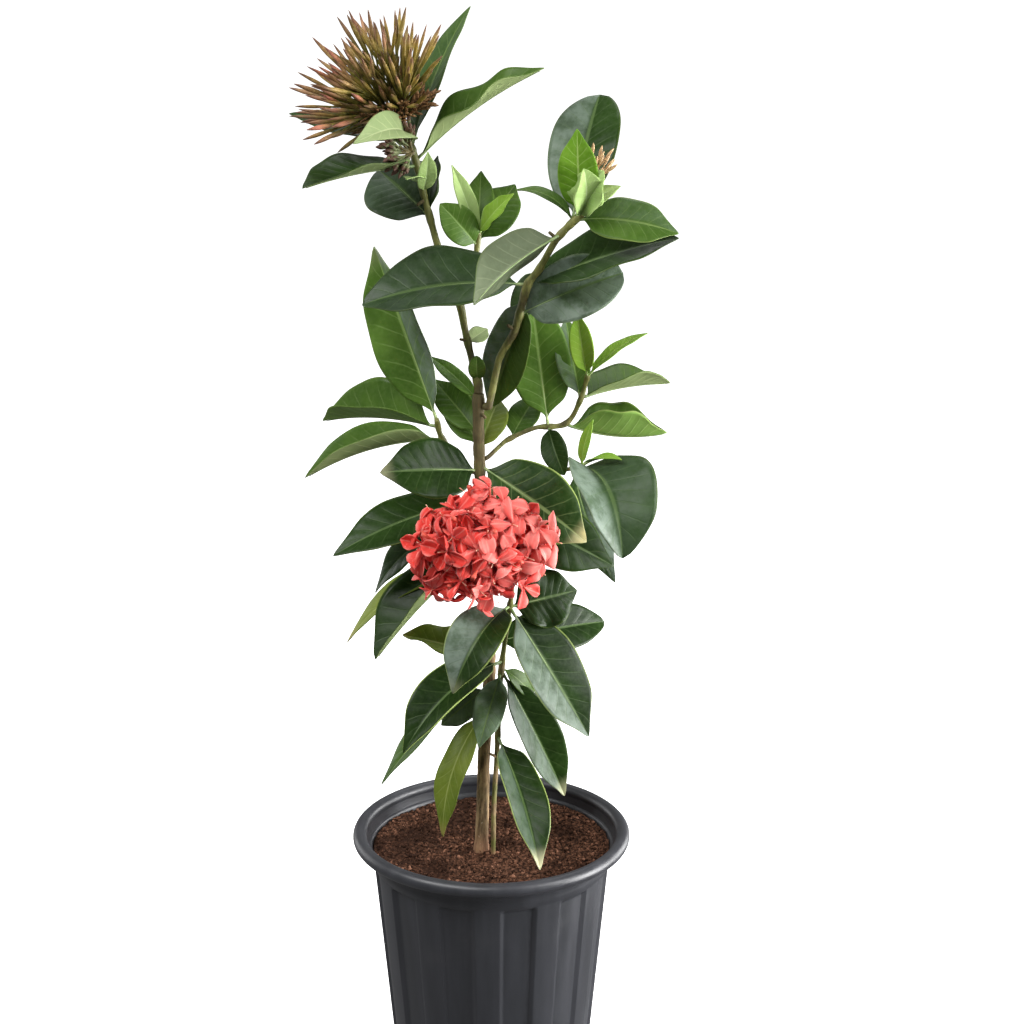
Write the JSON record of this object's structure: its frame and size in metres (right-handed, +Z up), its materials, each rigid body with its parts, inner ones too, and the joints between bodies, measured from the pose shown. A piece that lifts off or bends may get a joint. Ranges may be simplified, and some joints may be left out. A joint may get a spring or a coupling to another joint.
{
  "type": "potted ixora",
  "caption": "Flowering ixora shrub standing in a round fluted nursery pot of soil: upright leafy stems with opposite glossy leaves, a domed coral bloom and tall bud heads",
  "frame": {"origin": "centre of the pot's underside, on the surface that it stands on", "axes": "+Z up along the pot's axis; -Y is the front, where the bloom looks out; +X is to the right seen from the front"},
  "size_m": [0.2636, 0.2, 0.7744],
  "materials": {
    "pot_plastic": "satin charcoal injection-moulded plastic",
    "soil_earth": null,
    "leaf_green": null,
    "young_green": null,
    "petal_coral": null,
    "bud_tan": null
  },
  "bodies": {
    "root": {"pot": "pot_plastic", "soil": "soil_earth", "main_stem": "leaf_green", "front_shoot": "leaf_green", "left_leader": "leaf_green", "centre_shoot": "young_green", "right_leader": "leaf_green", "left_branch": "leaf_green", "right_branch": "leaf_green", "low_right_shoot": "leaf_green", "bloom": "petal_coral", "bud_head": "bud_tan", "bud_cluster_right": "bud_tan"}
  },
  "joints": []
}
